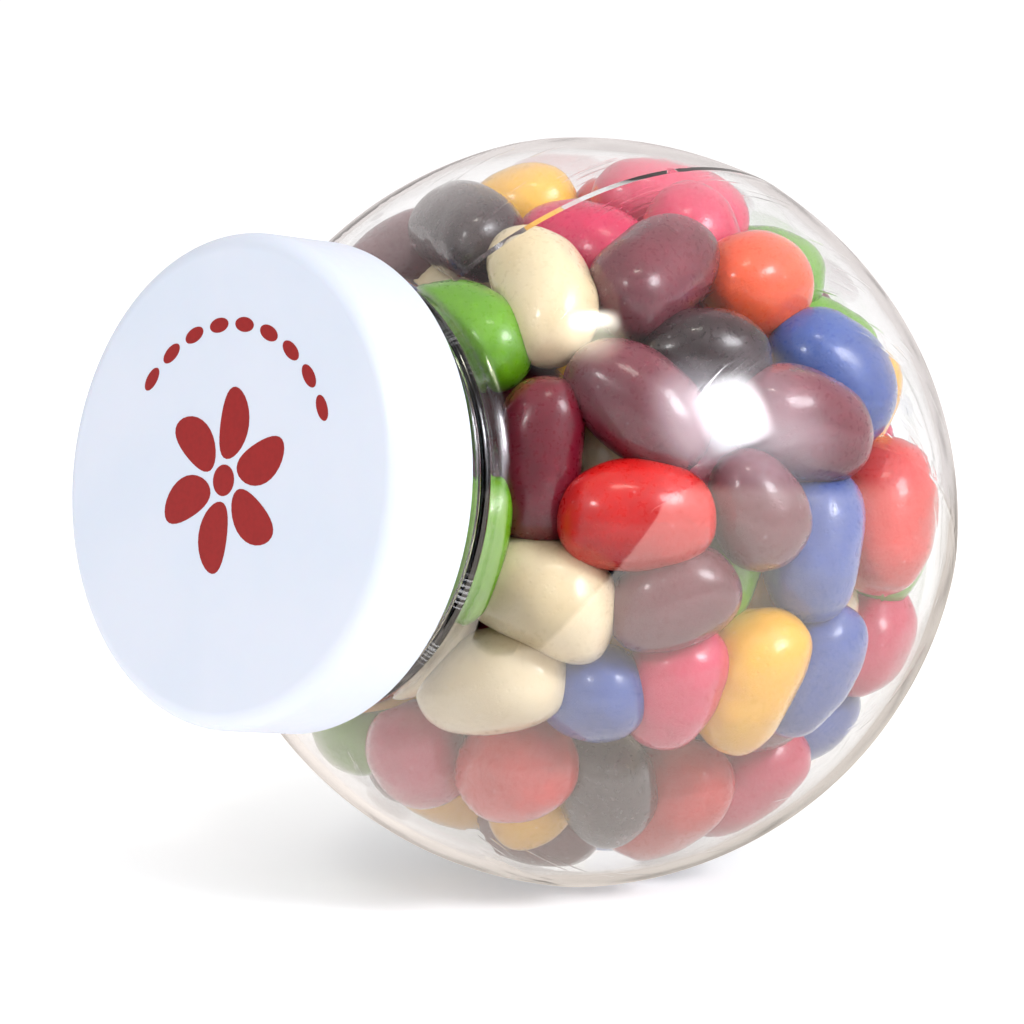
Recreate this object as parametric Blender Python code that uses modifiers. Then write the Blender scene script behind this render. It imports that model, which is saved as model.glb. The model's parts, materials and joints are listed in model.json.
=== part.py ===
"""A ball-shaped clear jar of jelly beans, lying on its side, with its white screw lid on.

Metres, +Z up. The origin is the middle of the small flat spot that the ball rests on. The three
pieces are turned or shaped about one axis, the jar's own: it runs from the ball's centre out
through the mouth, and the whole jar is then laid down with that axis nearly level.
"""

import math

import bmesh
import bpy
import numpy as np
from mathutils import Matrix, Vector

# How the jar lies
LID_RISE_DEG = 10.5  # the lid points this far above level, towards -Y
SIDE_ROLL_DEG = -31.3  # turn of the two flatter sides about the jar's own axis
REST_DEPTH = 0.0006  # how much of the ball the resting spot takes off

# The ball
BALL_RADIUS = 0.0425
WALL = 0.0013
SIDE_RADIUS = 1.049 * BALL_RADIUS  # the two round sides curve a little flatter than the ball
SIDE_REACH = 0.9775 * BALL_RADIUS  # and stand a little closer to its centre
SIDE_EDGE = 0.58  # the side's edge, as a share of the way from the ball's centre to its side
EDGE_RISE = 0.007 * BALL_RADIUS  # the belt lifts towards that edge
EDGE_SPREAD = 0.12
SEAM_RISE = 0.0137 * BALL_RADIUS  # and towards the low ridge where the mould's halves met
SEAM_SPREAD = 0.18
SEAM_OFFSET = -0.21  # the seam's plane passes this share of the radius beside the centre
SEAM_TIP_DEG = 7.0  # and leans this much from the plane between the sides
BELT_DIP = 0.0016 * BALL_RADIUS
BASE_RADIUS = 0.0165  # the foot that the jar stands on upright, opposite the mouth
BASE_PUNT = 0.0010

# The neck
NECK_RADIUS = 0.0237
SHOULDER_FILLET = 0.0018
BEAD_HEIGHT = 0.0388
BEAD_OUT = 0.0007
BEAD_HALF = 0.0010
THREAD_RADIUS = 0.0247
SHOULDER_FADE_DEG = (35.0, 43.0)  # from the jar's axis: round at the shoulder, shaped beyond
FOOT_FADE_DEG = (157.0, 148.0)  # and round again at the foot

# The lid
LID_RADIUS = 0.02675
LID_RIM = 0.0432  # the open rim's distance from the ball's centre
LID_HEIGHT = 0.0112
LID_FILLET = 0.0020
LID_CROWN = 0.0002
LID_SKIRT = 0.0015
LID_TOP = 0.0016

# The beans
BEAN_HALF_LENGTH = 0.0086
BEAN_HALF_WIDTH = 0.0056
BEAN_COUNT = 92  # those that lie against the wall
BEAN_VALLEY = 0.0034  # how deep the hollows between beans go
BEAN_BLEND = 0.0004
BEAN_FILL = 0.0480  # how far up the neck the beans come
SHOULDER_CLEAR = 0.0017  # room left round the shoulder's inner bend
SEED = 7

GAP = 0.0003  # between neighbouring pieces
TURN_STEPS = 36
CENTRE = Vector((0.0, 0.0, BALL_RADIUS - REST_DEPTH))


def remove_everything():
    """Start from an empty file."""
    for item in list(bpy.data.objects):
        bpy.data.objects.remove(item, do_unlink=True)


def new_collection(name):
    """A collection linked to the scene."""
    group = bpy.data.collections.new(name)
    bpy.context.scene.collection.children.link(group)
    return group


def plain_material(name, colour, roughness, alpha=1.0):
    """One sub-part's own finish."""
    material = bpy.data.materials.new(name)
    material.use_nodes = True
    shader = material.node_tree.nodes["Principled BSDF"]
    shader.inputs["Base Color"].default_value = (*colour, 1.0)
    shader.inputs["Roughness"].default_value = roughness
    shader.inputs["Metallic"].default_value = 0.0
    shader.inputs["Alpha"].default_value = alpha
    return material


def arc(centre, radius, start_deg, end_deg, steps):
    """Points of a profile's round stretch, with angles from the profile's outward axis."""
    out, along = centre
    angles = [math.radians(start_deg + (end_deg - start_deg) * i / steps) for i in range(steps + 1)]
    return [(out + radius * math.cos(a), along + radius * math.sin(a)) for a in angles]


def profile_mesh(name, points):
    """An open line of (out, along) points, ready for a Screw modifier."""
    mesh = bpy.data.meshes.new(name)
    verts = [(out, 0.0, along) for out, along in points]
    edges = [(i, i + 1) for i in range(len(verts) - 1)]
    mesh.from_pydata(verts, edges, [])
    return mesh


def add_screw(item, steps):
    """Turn a profile once about the object's own Z."""
    screw = item.modifiers.new("turn", "SCREW")
    screw.axis = "Z"
    screw.angle = math.tau
    screw.steps = steps
    screw.render_steps = steps
    screw.use_merge_vertices = True
    screw.merge_threshold = 0.00002
    screw.use_smooth_shade = True
    return screw


def as_mesh(item, name):
    """The object's evaluated shape as a plain mesh, and the object removed."""
    evaluated = item.evaluated_get(bpy.context.evaluated_depsgraph_get())
    mesh = bpy.data.meshes.new_from_object(evaluated)
    mesh.name = name
    bpy.data.objects.remove(item, do_unlink=True)
    return mesh


def laid_down():
    """An empty at the ball's centre, turned so that its Z is the lying jar's axis."""
    stand = bpy.data.objects.new("jar_axis", None)
    bpy.context.scene.collection.objects.link(stand)
    tip = Matrix.Rotation(math.radians(90.0 - LID_RISE_DEG), 4, "X")
    roll = Matrix.Rotation(math.radians(SIDE_ROLL_DEG), 4, "Z")
    stand.matrix_world = Matrix.Translation(CENTRE) @ tip @ roll
    return stand


def shoulder():
    """Where the neck's fillet has its centre, and its angle where it meets the ball."""
    out = NECK_RADIUS + SHOULDER_FILLET
    along = math.sqrt((BALL_RADIUS + SHOULDER_FILLET) ** 2 - out**2)
    return out, along, math.degrees(math.atan2(along, out))


def jar_profile():
    """The jar's outside from the mouth down the neck and round the ball to the foot."""
    out, along, meet_deg = shoulder()
    lid_inside = LID_RIM + LID_HEIGHT - LID_TOP
    neck = [
        (THREAD_RADIUS, lid_inside - GAP),
        (THREAD_RADIUS, LID_RIM + 0.0010),
        (NECK_RADIUS, LID_RIM),
        (NECK_RADIUS, BEAD_HEIGHT + BEAD_HALF),
        (NECK_RADIUS + BEAD_OUT, BEAD_HEIGHT),
        (NECK_RADIUS, BEAD_HEIGHT - BEAD_HALF),
    ]
    fillet = arc((out, along), SHOULDER_FILLET, 180.0, 180.0 + meet_deg, 3)
    heel_deg = -math.degrees(math.acos(BASE_RADIUS / BALL_RADIUS))
    ball = arc((0.0, 0.0), BALL_RADIUS, meet_deg, heel_deg, 12)[1:]
    foot = ball[-1][1]
    base = [
        (BASE_RADIUS - 0.0012, foot - 0.0003),
        (BASE_RADIUS - 0.0030, foot - 0.0002),
        (BASE_RADIUS - 0.0048, foot + BASE_PUNT),
        (0.0, foot + 1.4 * BASE_PUNT),
    ]
    return neck + fillet + ball + base


def seam_normal():
    """Square to the plane that the mould seam lies in."""
    tip = math.radians(SEAM_TIP_DEG)
    return Vector((math.cos(tip), 0.0, -math.sin(tip)))


def ball_reach(direction):
    """How far the shaped ball's surface is from its centre, in one direction."""
    toward_side = abs(direction.x)
    back = SIDE_RADIUS - SIDE_REACH
    side = math.sqrt(SIDE_RADIUS**2 - back**2 * (1.0 - toward_side**2)) - back * toward_side
    from_seam = abs(direction.dot(seam_normal()) - SEAM_OFFSET)
    from_edge = max(SIDE_EDGE - toward_side, 0.0)
    belt = BALL_RADIUS - BELT_DIP + SEAM_RISE * math.exp(-from_seam / SEAM_SPREAD)
    belt += EDGE_RISE * math.exp(-from_edge / EDGE_SPREAD)
    return min(side, belt)


def shape_share(direction):
    """0 at the round shoulder and foot, 1 where the ball has its flatter sides and its ridge."""
    from_axis = math.degrees(math.acos(max(-1.0, min(1.0, direction.z))))
    share = 1.0
    for start, end in (SHOULDER_FADE_DEG, FOOT_FADE_DEG):
        part = max(0.0, min(1.0, (from_axis - start) / (end - start)))
        share *= part * part * (3.0 - 2.0 * part)
    return share


def score_edges(mesh):
    """Cut the turned ball's faces along the seam and the sides' edges, so that each is one line."""
    lines = [(seam_normal(), SEAM_OFFSET)]
    lines += [(Vector((way, 0.0, 0.0)), SIDE_EDGE) for way in (1.0, -1.0)]
    form = bmesh.new()
    form.from_mesh(mesh)
    for normal, share in lines:
        every = form.verts[:] + form.edges[:] + form.faces[:]
        point = normal * share * BALL_RADIUS
        bmesh.ops.bisect_plane(form, geom=every, dist=0.0003, plane_co=point, plane_no=normal)
    form.to_mesh(mesh)
    form.free()


def make_jar(group, cutters, stand):
    """The clear jar: turned, given its sides and ridge, then walled and flattened below."""
    turned = bpy.data.objects.new("jar_turned", profile_mesh("jar_profile", jar_profile()))
    group.objects.link(turned)
    add_screw(turned, TURN_STEPS)
    mesh = as_mesh(turned, "jar")
    score_edges(mesh)
    for vertex in mesh.vertices:
        direction = vertex.co.normalized()
        stretch = ball_reach(direction) / BALL_RADIUS - 1.0
        vertex.co *= 1.0 + stretch * shape_share(direction)
    jar = bpy.data.objects.new("jar", mesh)
    group.objects.link(jar)
    jar.parent = stand
    jar.data.materials.append(plain_material("clear plastic", (0.95, 0.96, 0.97), 0.05, 0.3))
    wall = jar.modifiers.new("wall", "SOLIDIFY")
    wall.thickness = WALL
    wall.offset = -1.0
    wall.use_even_offset = True
    flat = jar.modifiers.new("resting spot", "BOOLEAN")
    flat.operation = "DIFFERENCE"
    flat.object = floor_cutter(cutters)
    return jar


def floor_cutter(cutters):
    """A block under the floor's level, which takes the resting spot off the ball."""
    bpy.ops.mesh.primitive_cube_add(size=0.02, location=(0.0, 0.0, -0.01))
    block = bpy.context.active_object
    block.name = "floor_block"
    for owner in list(block.users_collection):
        owner.objects.unlink(block)
    cutters.objects.link(block)
    block.hide_render = True
    block.display_type = "WIRE"
    return block


def lid_profile():
    """The cap from the middle of its top, over the edge, and back up inside the skirt."""
    top = LID_RIM + LID_HEIGHT
    inner = LID_RADIUS - LID_SKIRT
    edge = arc((LID_RADIUS - LID_FILLET, top - LID_FILLET), LID_FILLET, 90.0, 0.0, 4)
    return [
        (0.0, top + LID_CROWN),
        (0.5 * LID_RADIUS, top + 0.75 * LID_CROWN),
        *edge,
        (LID_RADIUS, LID_RIM + 0.0005),
        (LID_RADIUS - 0.0004, LID_RIM),
        (inner, LID_RIM),
        (inner, top - LID_TOP),
        (0.0, top - LID_TOP),
    ]


def make_lid(group, stand):
    """The white screw lid, hollow over the neck."""
    lid = bpy.data.objects.new("lid", profile_mesh("lid", lid_profile()))
    group.objects.link(lid)
    lid.parent = stand
    lid.data.materials.append(plain_material("white plastic", (0.90, 0.92, 0.95), 0.35))
    add_screw(lid, TURN_STEPS)
    return lid


def room_inside(direction):
    """How far from the ball's centre the beans may come, in one direction."""
    from_axis = math.acos(max(-1.0, min(1.0, direction.z)))
    ball = ball_reach(direction) * shape_share(direction)
    ball += BALL_RADIUS * (1.0 - shape_share(direction)) - WALL - 2.0 * GAP
    bore = NECK_RADIUS - WALL - 2.0 * GAP
    mouth_angle = math.asin(bore / ball)
    if from_axis < mouth_angle:
        up_neck = bore / max(math.sin(from_axis), 0.001)
        room = min(up_neck, BEAN_FILL / math.cos(from_axis))
    else:
        room = ball
    bend = max(0.0, 1.0 - abs(from_axis - mouth_angle) / math.radians(9.0))
    foot = max(0.0, (from_axis - math.radians(150.0)) / math.radians(30.0))
    foot_depth = BALL_RADIUS - math.sqrt(BALL_RADIUS**2 - BASE_RADIUS**2) + 1.4 * BASE_PUNT
    return room - SHOULDER_CLEAR * min(1.0, 2.0 * bend) - foot_depth * min(1.0, 2.2 * foot)


def spiral_directions(count):
    """Evenly spread directions, wound in a spiral from the mouth to the foot."""
    golden = math.pi * (3.0 - math.sqrt(5.0))
    found = []
    for i in range(count):
        along = 1.0 - 2.0 * (i + 0.5) / count
        out = math.sqrt(1.0 - along * along)
        found.append(Vector((out * math.cos(golden * i), out * math.sin(golden * i), along)))
    return found


def lay_beans():
    """Each outer bean as its centre and its long direction, lying along the wall."""
    chance = np.random.default_rng(SEED)
    laid = []
    for direction in spiral_directions(BEAN_COUNT):
        across = direction.orthogonal().normalized()
        spin = chance.uniform(0.0, math.tau)
        lean = chance.uniform(-0.35, 0.35)
        long_way = Matrix.Rotation(spin, 3, direction) @ across + lean * direction
        centre = direction * (room_inside(direction) - BEAN_HALF_WIDTH)
        laid.append((np.array(centre), np.array(long_way.normalized())))
    return laid


def bean_reach(directions, centre, long_way):
    """Where each ray from the ball's centre leaves one bean, or 0 where it misses it."""
    squeeze = BEAN_HALF_WIDTH / BEAN_HALF_LENGTH - 1.0
    rays = directions + squeeze * np.outer(directions @ long_way, long_way)
    middle = centre + squeeze * (centre @ long_way) * long_way
    a = np.einsum("ij,ij->i", rays, rays)
    b = rays @ middle
    c = middle @ middle - BEAN_HALF_WIDTH**2
    inside = b * b - a * c
    return np.where(inside > 0.0, (b + np.sqrt(np.maximum(inside, 0.0))) / a, 0.0)


def make_beans(group, stand):
    """The heap as one solid, out to the uneven outline of the beans against the wall."""
    form = bmesh.new()
    bmesh.ops.create_icosphere(form, subdivisions=5, radius=1.0)
    directions = np.array([vertex.co.normalized() for vertex in form.verts])
    room = np.array([room_inside(Vector(direction)) for direction in directions])
    reach = room - BEAN_VALLEY
    for centre, long_way in lay_beans():
        bean = bean_reach(directions, centre, long_way)
        blend = np.maximum(BEAN_BLEND - np.abs(reach - bean), 0.0) / BEAN_BLEND
        reach = np.maximum(reach, bean) + blend**2 * BEAN_BLEND / 4.0
    reach = np.minimum(reach, room)
    for vertex, distance in zip(form.verts, reach):
        vertex.co = vertex.co.normalized() * float(distance)
    mesh = bpy.data.meshes.new("jelly_beans")
    form.to_mesh(mesh)
    form.free()
    mesh.shade_smooth()
    beans = bpy.data.objects.new("jelly_beans", mesh)
    group.objects.link(beans)
    beans.parent = stand
    beans.data.materials.append(plain_material("sugar shell", (0.78, 0.12, 0.20), 0.3))
    return beans


def main():
    """Build the jar, its lid and its beans."""
    remove_everything()
    group = new_collection("jar_of_jelly_beans")
    cutters = new_collection("cutters")
    stand = laid_down()
    make_jar(group, cutters, stand)
    make_lid(group, stand)
    make_beans(group, stand)
    bpy.context.view_layer.update()


main()
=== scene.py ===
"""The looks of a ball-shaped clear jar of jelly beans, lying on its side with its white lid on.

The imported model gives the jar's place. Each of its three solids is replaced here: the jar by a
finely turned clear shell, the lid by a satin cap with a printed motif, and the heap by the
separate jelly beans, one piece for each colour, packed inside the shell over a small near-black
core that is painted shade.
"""

import json
import math

import bmesh
import bpy
import numpy as np
from mathutils import Matrix, Quaternion, Vector

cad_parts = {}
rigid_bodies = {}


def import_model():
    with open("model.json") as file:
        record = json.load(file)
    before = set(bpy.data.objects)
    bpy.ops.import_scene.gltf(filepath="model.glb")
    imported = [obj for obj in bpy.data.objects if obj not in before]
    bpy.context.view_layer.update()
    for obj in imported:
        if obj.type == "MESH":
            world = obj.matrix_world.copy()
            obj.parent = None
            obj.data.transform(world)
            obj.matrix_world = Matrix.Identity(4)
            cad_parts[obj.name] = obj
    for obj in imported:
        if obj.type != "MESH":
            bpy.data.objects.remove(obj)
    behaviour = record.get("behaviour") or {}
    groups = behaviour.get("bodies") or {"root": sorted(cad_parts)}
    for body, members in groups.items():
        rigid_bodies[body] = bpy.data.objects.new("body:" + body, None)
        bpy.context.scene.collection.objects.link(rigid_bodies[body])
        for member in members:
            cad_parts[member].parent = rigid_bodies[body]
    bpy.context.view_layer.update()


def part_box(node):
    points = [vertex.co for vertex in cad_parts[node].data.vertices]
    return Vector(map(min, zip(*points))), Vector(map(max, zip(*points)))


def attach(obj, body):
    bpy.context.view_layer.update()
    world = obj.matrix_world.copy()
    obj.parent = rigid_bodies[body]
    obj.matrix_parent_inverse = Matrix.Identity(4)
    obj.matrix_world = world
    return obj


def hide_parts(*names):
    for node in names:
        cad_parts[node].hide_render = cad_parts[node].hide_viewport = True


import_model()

# How the jar lies, and the ball's form, as the solids have them
LID_RISE_DEG = 10.5
SIDE_ROLL_DEG = -31.3
REST_DEPTH = 0.0006
BALL_RADIUS = 0.0425
WALL = 0.0013
SIDE_RADIUS = 1.06 * BALL_RADIUS
SIDE_REACH = 0.9775 * BALL_RADIUS
SIDE_EDGE = 0.66
EDGE_RISE = 0.007 * BALL_RADIUS
EDGE_SPREAD = 0.12
SEAM_RISE = 0.0137 * BALL_RADIUS
SEAM_SPREAD = 0.18
SEAM_OFFSET = -0.21
SEAM_TIP_DEG = 7.0
BELT_DIP = 0.0016 * BALL_RADIUS
BASE_RADIUS = 0.0165
BASE_PUNT = 0.0010
NECK_RADIUS = 0.0237
SHOULDER_FILLET = 0.0018
BEAD_HEIGHT = 0.0388
BEAD_OUT = 0.0007
THREAD_RADIUS = 0.0247
SHOULDER_FADE_DEG = (35.0, 43.0)
FOOT_FADE_DEG = (157.0, 148.0)
LID_RADIUS = 0.02675
LID_RIM = 0.0432
LID_HEIGHT = 0.0112
LID_FILLET = 0.0020
LID_CROWN = 0.0002
LID_SKIRT = 0.0015
LID_TOP = 0.0016
GAP = 0.0003
BEAN_FILL = 0.0480

# The photographer's side
VIEW_AZIMUTH_DEG = 46.5
VIEW_ELEVATION_DEG = 10.0
VIEW_DISTANCE = 0.6009
VIEW_LENS = 185.2
VIEW_SHIFT = 0.00813

# The beans
CORE_RADIUS = 0.0150
WALL_CLEARANCE = 0.0006
SETTLE_STEPS = 300
LAST_STEPS = 60
OUTWARD_DRIFT = 0.00006
FRONT_DEPTH = 0.008
FRONT_REACH = 0.023
SEED = 11

# The studio: how bright the open room is, the floor's painted glow near and far, and in what the shell
# mirrors, the low card and the pale upper room
AMBIENT = 0.68
FLOOR_GLOW = (0.36, 0.42)
LOW_CARD = 2.0
UPPER_ROOM = 0.3
EDGE_ROOM = 0.85


def srgb(red, green, blue):
    """A colour by its everyday 0 to 255 values, as the linear values that a shader takes."""
    return tuple(((c / 255.0 + 0.055) / 1.055) ** 2.4 if c > 10 else c / 3295.0 for c in (red, green, blue))


# Each colour of bean: its plain shade, the shade its mottling goes to, and how many fill the inside
BEAN_COLOURS = {
    "purple": (srgb(112, 44, 56), srgb(74, 24, 36), 15),
    "black": (srgb(44, 20, 25), srgb(24, 11, 14), 9),
    "cream": (srgb(228, 214, 184), srgb(214, 192, 150), 14),
    "yellow": (srgb(226, 174, 8), srgb(214, 148, 5), 11),
    "pink": (srgb(200, 36, 84), srgb(170, 20, 62), 14),
    "red": (srgb(206, 26, 22), srgb(168, 10, 12), 13),
    "orange": (srgb(224, 84, 22), srgb(204, 60, 12), 9),
    "green": (srgb(104, 162, 20), srgb(76, 128, 11), 12),
    "blue": (srgb(48, 82, 154), srgb(30, 58, 124), 12),
    "maroon": (srgb(120, 18, 40), srgb(78, 8, 24), 3),
}

# The forms of bean: how blunt the ends are, how much one end is fatter, how far the bean bends
# and how much it is pinched inside the bend
BEAN_FORMS = [
    (2.35, 0.02, 0.10, 0.00),
    (2.40, 0.04, 0.34, 0.10),
    (2.15, 0.09, 0.05, 0.00),
    (2.60, -0.05, 0.18, 0.04),
]

# The beans that show from the photographer's side: colour, millimetres right and up of the ball's
# middle, lean in degrees, length and width in millimetres, form, and millimetres off the wall
SHOWN_BEANS = [
    ("purple", -22, 30, 20, 16, 10.5, 0, 1),
    ("cream", -20, 33, 20, 14, 10, 2, 5),
    ("black", -13, 31, -62, 17, 11, 1, 0),
    ("yellow", -7, 36, -15, 13.5, 11, 2, 3),
    ("black", -2, 37, -20, 14, 10, 0, 4),
    ("pink", 10, 34, -14, 18.5, 11.5, 0, 0),
    ("red", 8, 37, -8, 17, 10.5, 3, 3),
    ("pink", 0, 29, -45, 16, 11, 0, 5),
    ("cream", -5, 23, -75, 18, 11, 1, 0),
    ("green", -12, 19, -35, 17, 11, 0, 0),
    ("purple", 8, 25, 50, 17.5, 11.5, 3, 0),
    ("orange", 18, 25, 20, 13.5, 12, 2, 0),
    ("green", 22, 30, -30, 15, 10.5, 0, 3),
    ("green", 29, 23, -45, 17.5, 11.5, 0, 3),
    ("blue", 27, 15, -35, 17, 13, 2, 0),
    ("black", 13, 16, -20, 14.5, 10.5, 2, 2),
    ("purple", 5, 11, -44, 17.5, 11.5, 0, 0),
    ("purple", 23, 10, -12, 17.5, 12, 0, 0),
    ("pink", 35, 11, 70, 15, 10.5, 0, 4),
    ("maroon", -5, 5, 82, 18, 10.5, 3, 2),
    ("red", 5, -1, 0, 17, 12, 0, 0),
    ("green", -11, -4, 78, 16, 9.5, 0, 0),
    ("purple", 18, 0, -62, 13.5, 10.5, 2, 0),
    ("blue", 24, -3, 82, 17, 11.5, 1, 2),
    ("red", 33, 0, 70, 18, 12, 0, 0),
    ("green", 35, -4, 80, 15, 10, 0, 4),
    ("orange", 35, -8, 75, 14, 10, 0, 5),
    ("cream", -4, -9, -20, 17, 12.5, 1, 0),
    ("cream", -10, -18, 4, 17, 11.5, 0, 0),
    ("cream", -17, -15, 50, 15, 10.5, 0, 3),
    ("purple", 8, -9, 20, 15, 11, 2, 1),
    ("green", 15, -7, 65, 12, 8.5, 0, 7.5),
    ("pink", 9, -18, 75, 15, 11, 0, 1),
    ("yellow", 17, -18, 72, 17, 11.5, 1, 0),
    ("blue", 24, -17, 72, 16, 10, 0, 0),
    ("pink", 31, -14, 35, 15, 12.5, 2, 0),
    ("blue", 27, -26, 58, 16, 10.5, 0, 2),
    ("blue", 32, -20, 60, 14, 10, 0, 5),
    ("blue", 1, -19, -5, 13, 10.5, 2, 2),
    ("pink", -18, -27, 72, 14.5, 11, 2, 0),
    ("red", -7, -28, 40, 14.5, 12, 2, 0),
    ("green", -25, -25, 45, 16, 11, 0, 2),
    ("black", 2, -30, -70, 14.5, 11, 0, 1),
    ("red", 8, -32, 80, 17.5, 12, 0, 0),
    ("pink", 18, -31, 62, 17, 11, 3, 0),
    ("purple", -6, -36, -15, 15, 10.5, 0, 2),
    ("yellow", -16, -33, 15, 15, 10, 0, 3),
    ("yellow", -28, -24, 40, 14, 9.5, 2, 4),
    ("purple", -21, -30, -40, 14, 9.5, 0, 4),
    ("orange", 3, -37, 10, 14, 10, 0, 5),
    ("blue", 11, -36, 15, 14, 9.5, 0, 4),
    ("purple", -7, 12, 0, 13, 9.5, 0, 8),
]

SEAM_NORMAL = np.array([math.cos(math.radians(SEAM_TIP_DEG)), 0.0, -math.sin(math.radians(SEAM_TIP_DEG))])


# ---------------------------------------------------------------- places and directions


def ball_centre():
    """The ball's centre, over the middle of its resting spot."""
    low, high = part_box("jar")
    return Vector((0.5 * (low.x + high.x), 0.0, low.z + BALL_RADIUS - REST_DEPTH))


def jar_place():
    """From the jar's own axes (Z through the mouth, X out of a side) to the lying jar."""
    tip = Matrix.Rotation(math.radians(90.0 - LID_RISE_DEG), 4, "X")
    roll = Matrix.Rotation(math.radians(SIDE_ROLL_DEG), 4, "Z")
    return Matrix.Translation(ball_centre()) @ tip @ roll


def toward(azimuth_deg, elevation_deg):
    """The direction from the jar towards a point round it."""
    azimuth, elevation = math.radians(azimuth_deg), math.radians(elevation_deg)
    level = math.cos(elevation)
    return Vector((math.sin(azimuth) * level, -math.cos(azimuth) * level, math.sin(elevation)))


def facing(azimuth_deg, elevation_deg):
    """Right, up and back as someone standing there sees them."""
    back = toward(azimuth_deg, elevation_deg)
    right = Vector((0.0, 0.0, 1.0)).cross(back).normalized()
    return right, back.cross(right), back


CENTRE = ball_centre()
PLACE = jar_place()


# ---------------------------------------------------------------- the ball's form


def smooth_step(value, start, end):
    """0 before start, 1 after end, and an even curve between."""
    part = np.clip((value - start) / (end - start), 0.0, 1.0)
    return part * part * (3.0 - 2.0 * part)


def shape_share(ways):
    """0 at the round shoulder and foot, 1 where the ball has its flatter sides and its ridge."""
    from_axis = np.degrees(np.arccos(np.clip(ways[:, 2], -1.0, 1.0)))
    return smooth_step(from_axis, *SHOULDER_FADE_DEG) * smooth_step(from_axis, *FOOT_FADE_DEG)


def ball_reach(ways):
    """How far the ball's outside is from its centre, along rows of unit directions."""
    toward_side = np.abs(ways[:, 0])
    back = SIDE_RADIUS - SIDE_REACH
    side = np.sqrt(SIDE_RADIUS**2 - back**2 * (1.0 - toward_side**2)) - back * toward_side
    from_seam = np.abs(ways @ SEAM_NORMAL - SEAM_OFFSET)
    from_edge = np.maximum(SIDE_EDGE - toward_side, 0.0)
    belt = BALL_RADIUS - BELT_DIP + SEAM_RISE * np.exp(-from_seam / SEAM_SPREAD)
    belt = belt + EDGE_RISE * np.exp(-from_edge / EDGE_SPREAD)
    shaped = np.minimum(side, belt)
    return BALL_RADIUS + (shaped - BALL_RADIUS) * shape_share(ways)


# ---------------------------------------------------------------- mesh helpers


def arc(centre, radius, start_deg, end_deg, steps):
    """Points of a profile's round stretch."""
    angles = np.radians(np.linspace(start_deg, end_deg, steps + 1))
    return [(centre[0] + radius * math.cos(a), centre[1] + radius * math.sin(a)) for a in angles]


def between(start, end, steps):
    """Points of a profile's straight stretch, without its last."""
    shares = [i / steps for i in range(steps)]
    return [(start[0] + (end[0] - start[0]) * s, start[1] + (end[1] - start[1]) * s) for s in shares]


def add_object(name, mesh):
    """A mesh as an object in the scene."""
    item = bpy.data.objects.new(name, mesh)
    bpy.context.scene.collection.objects.link(item)
    return item


def evaluated_mesh(item):
    """An object's shape with its modifiers applied, as a plain mesh."""
    bpy.context.view_layer.update()
    graph = bpy.context.evaluated_depsgraph_get()
    shown = item.evaluated_get(graph)
    return bpy.data.meshes.new_from_object(shown, preserve_all_data_layers=True, depsgraph=graph)


def apply_modifiers(item):
    """Make what the modifiers do the object's own mesh."""
    mesh = evaluated_mesh(item)
    item.modifiers.clear()
    item.data = mesh
    return item


def only_finish(item):
    """Keep the one slot that the nodes filled."""
    kept = item.data.materials[-1]
    item.data.materials.clear()
    item.data.materials.append(kept)
    item.data.polygons.foreach_set("material_index", np.zeros(len(item.data.polygons), dtype=np.int32))
    return item


def turned(name, points, steps):
    """A profile of (out, along) points turned once about the jar's own axis."""
    mesh = bpy.data.meshes.new(name)
    mesh.from_pydata([(out, 0.0, along) for out, along in points], [(i, i + 1) for i in range(len(points) - 1)], [])
    item = add_object(name, mesh)
    screw = item.modifiers.new("turn", "SCREW")
    screw.axis = "Z"
    screw.angle = math.tau
    screw.steps = screw.render_steps = steps
    screw.use_merge_vertices = True
    screw.merge_threshold = 0.00001
    screw.use_smooth_shade = True
    return apply_modifiers(item)


def outward(item):
    """Point a closed mesh's faces outwards."""
    form = bmesh.new()
    form.from_mesh(item.data)
    bmesh.ops.recalc_face_normals(form, faces=form.faces)
    form.to_mesh(item.data)
    form.free()


def points_of(mesh):
    """A mesh's vertices as rows."""
    rows = np.empty(len(mesh.vertices) * 3)
    mesh.vertices.foreach_get("co", rows)
    return rows.reshape(-1, 3)


def put_points(mesh, rows):
    """Rows back as a mesh's vertices."""
    mesh.vertices.foreach_set("co", np.asarray(rows, dtype=float).ravel())
    mesh.update()


def ripple(rows, seed, waves, shortest, longest):
    """An even, gentle unevenness from -1 to 1 at rows of points, from a few crossing waves."""
    chance = np.random.default_rng(seed)
    total = np.zeros(len(rows))
    for _ in range(waves):
        way = chance.normal(size=3)
        way /= np.linalg.norm(way)
        total += np.sin(rows @ way * math.tau / chance.uniform(shortest, longest) + chance.uniform(0.0, math.tau))
    return total / waves


# ---------------------------------------------------------------- materials


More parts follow.
